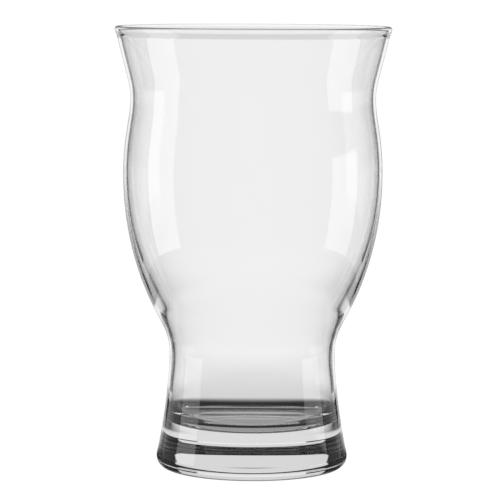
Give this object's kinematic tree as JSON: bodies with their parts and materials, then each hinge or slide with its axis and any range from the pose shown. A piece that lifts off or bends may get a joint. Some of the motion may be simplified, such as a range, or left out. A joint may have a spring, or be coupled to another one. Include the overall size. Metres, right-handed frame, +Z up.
{
  "type": "pint glass",
  "caption": "Clear drinking glass with a heavy solid foot, narrow waist, full belly, neck and flared fire-polished rim; stands on a flat ring.",
  "frame": {"origin": "centre of the resting ring, on the plane the glass stands on", "axes": "+Z up along the glass's axis of revolution; X and Y are any two square directions across it"},
  "size_m": [0.091, 0.091, 0.146],
  "materials": {
    "clear_glass": "fire-polished clear soda-lime glass"
  },
  "bodies": {
    "root": {"glass": "clear_glass"}
  },
  "joints": []
}
